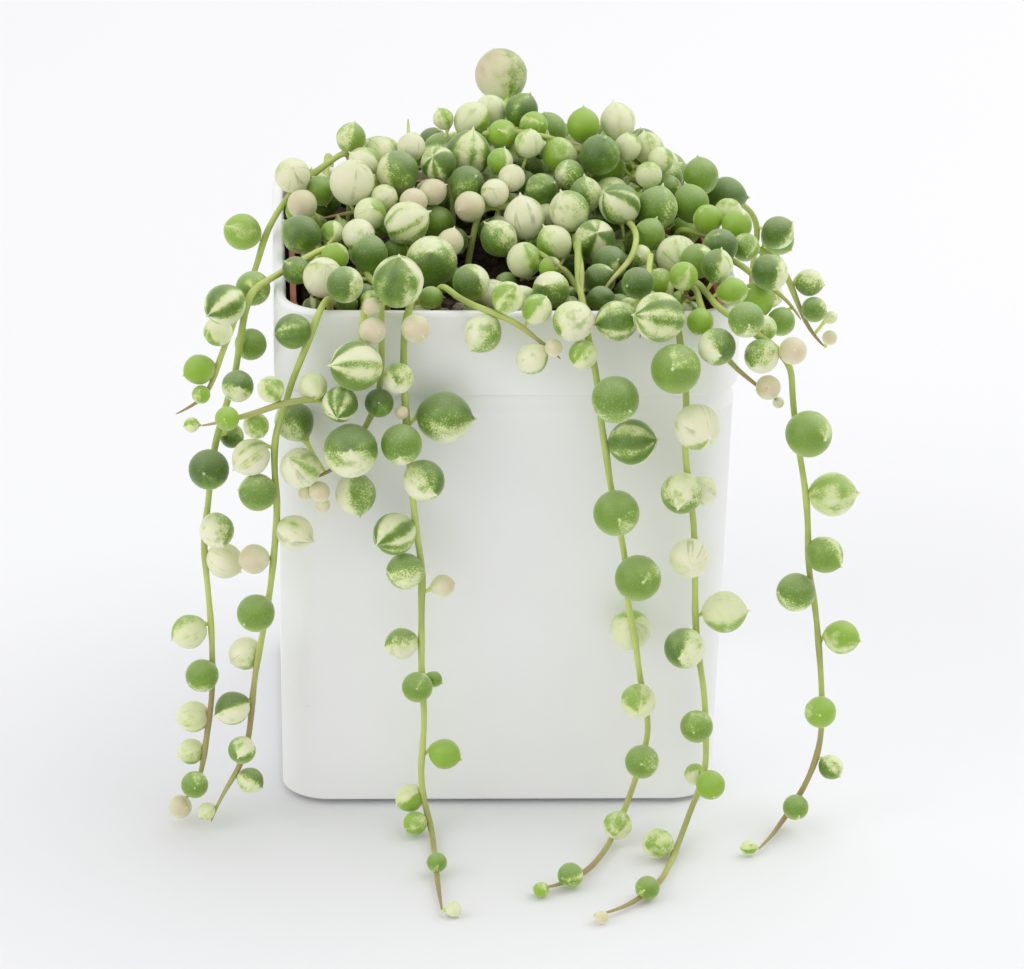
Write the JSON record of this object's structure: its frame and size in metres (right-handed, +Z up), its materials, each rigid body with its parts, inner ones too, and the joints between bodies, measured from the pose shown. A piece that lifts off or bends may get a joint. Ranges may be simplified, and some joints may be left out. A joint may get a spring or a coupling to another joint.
{
  "type": "potted string of pearls",
  "caption": "Trailing succulent with round, pointed, cream-striped leaves on thin stems, in a nursery pot inside a square white cover pot with a band under the rim.",
  "frame": {"origin": "middle of the cover pot's flat underside, on the surface it stands on", "axes": "+Z up along the pot's middle line, +X to the right across the front, +Y from the front to the back"},
  "size_m": [0.1198, 0.1458, 0.117],
  "materials": {
    "pot": "satin white",
    "terracotta": "matt terracotta-coloured",
    "soil": "dark potting mix with bark and grit",
    "leaf": "smooth waxy leaf, green with cream stripes"
  },
  "bodies": {
    "root": {"cover_pot": "pot", "crown_back_left": "leaf", "crown_back_right": "leaf", "crown_centre": "leaf", "crown_front_centre": "leaf", "crown_front_left": "leaf", "crown_front_right": "leaf", "crown_left_corner": "leaf", "crown_middle_left": "leaf", "crown_middle_right": "leaf", "crown_pale_left": "leaf", "crown_rear_1": "leaf", "crown_rear_2": "leaf", "crown_rear_3": "leaf", "crown_rear_4": "leaf", "crown_rear_5": "leaf", "crown_rear_6": "leaf", "crown_right": "leaf", "crown_right_corner": "leaf", "crown_star": "leaf", "crown_summit": "leaf", "crown_top_left": "leaf", "crown_top_right": "leaf", "nursery_pot": "terracotta", "soil": "soil", "trail_back_1": "leaf", "trail_back_2": "leaf", "trail_back_3": "leaf", "trail_back_4": "leaf", "trail_back_5": "leaf", "trail_centre_short": "leaf", "trail_front_cluster": "leaf", "trail_front_corner": "leaf", "trail_front_long": "leaf", "trail_left_cluster": "leaf", "trail_left_inner": "leaf", "trail_left_long": "leaf", "trail_left_short": "leaf", "trail_right_corner": "leaf", "trail_right_front": "leaf", "trail_right_long": "leaf", "trail_right_lower": "leaf", "trail_right_middle": "leaf", "trail_right_rear": "leaf", "trail_right_upper": "leaf"}
  },
  "joints": []
}
